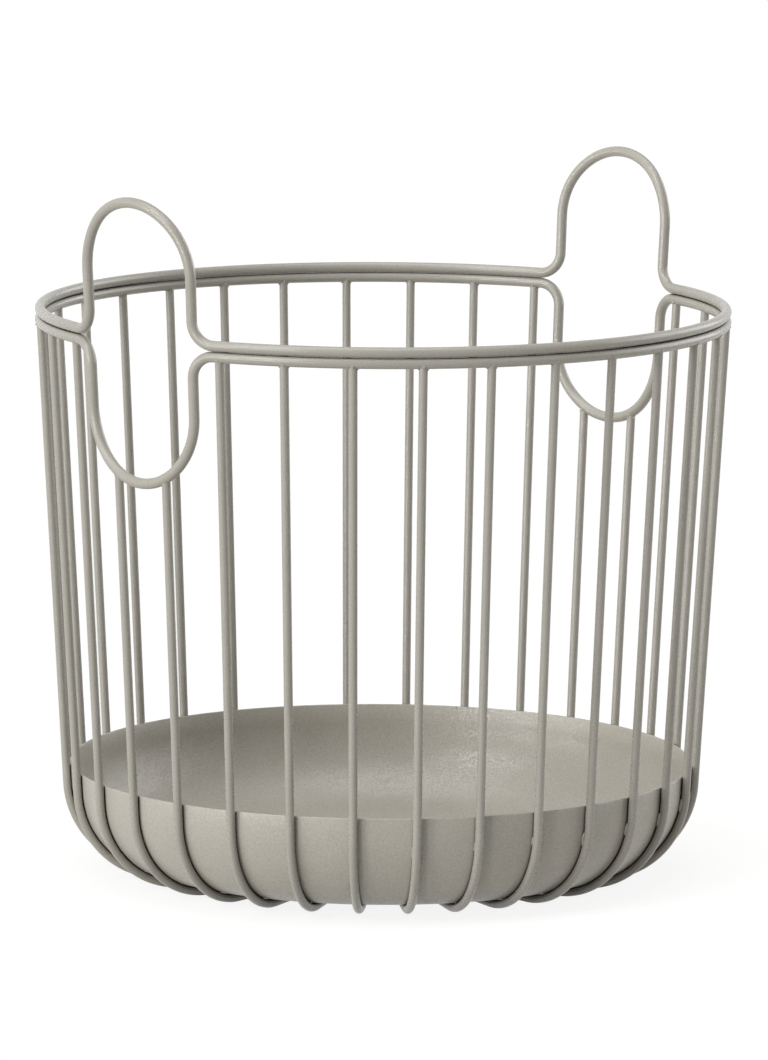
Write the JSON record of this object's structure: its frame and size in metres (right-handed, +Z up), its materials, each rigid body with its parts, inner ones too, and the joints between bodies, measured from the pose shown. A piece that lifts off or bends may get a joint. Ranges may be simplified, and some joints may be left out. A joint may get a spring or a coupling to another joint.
{
  "type": "wire storage basket",
  "caption": "Round powder-coated wire basket with a pressed sheet tray for its base and looped handles bent from the rim wires.",
  "frame": {"origin": "on the floor under the basket's centre", "axes": "+Z up, +X through the middle of one handle, +Y along the rim between the handles"},
  "size_m": [0.4084, 0.4, 0.406],
  "materials": {
    "powder_coat": "fine textured warm grey powder coat, satin"
  },
  "bodies": {
    "root": {"upper_rim": "powder_coat", "lower_rim": "powder_coat", "tray": "powder_coat", "upright_01": "powder_coat", "upright_02": "powder_coat", "upright_03": "powder_coat", "upright_04": "powder_coat", "upright_05": "powder_coat", "upright_06": "powder_coat", "upright_07": "powder_coat", "upright_08": "powder_coat", "upright_09": "powder_coat", "upright_10": "powder_coat", "upright_11": "powder_coat", "upright_12": "powder_coat", "upright_13": "powder_coat", "upright_14": "powder_coat", "upright_15": "powder_coat", "upright_16": "powder_coat", "upright_17": "powder_coat", "upright_18": "powder_coat", "upright_19": "powder_coat", "upright_20": "powder_coat", "upright_21": "powder_coat", "upright_22": "powder_coat", "upright_23": "powder_coat", "upright_24": "powder_coat", "upright_25": "powder_coat", "upright_26": "powder_coat", "upright_27": "powder_coat", "upright_28": "powder_coat", "short_upright_1": "powder_coat", "short_upright_2": "powder_coat", "short_upright_3": "powder_coat", "short_upright_4": "powder_coat"}
  },
  "joints": []
}
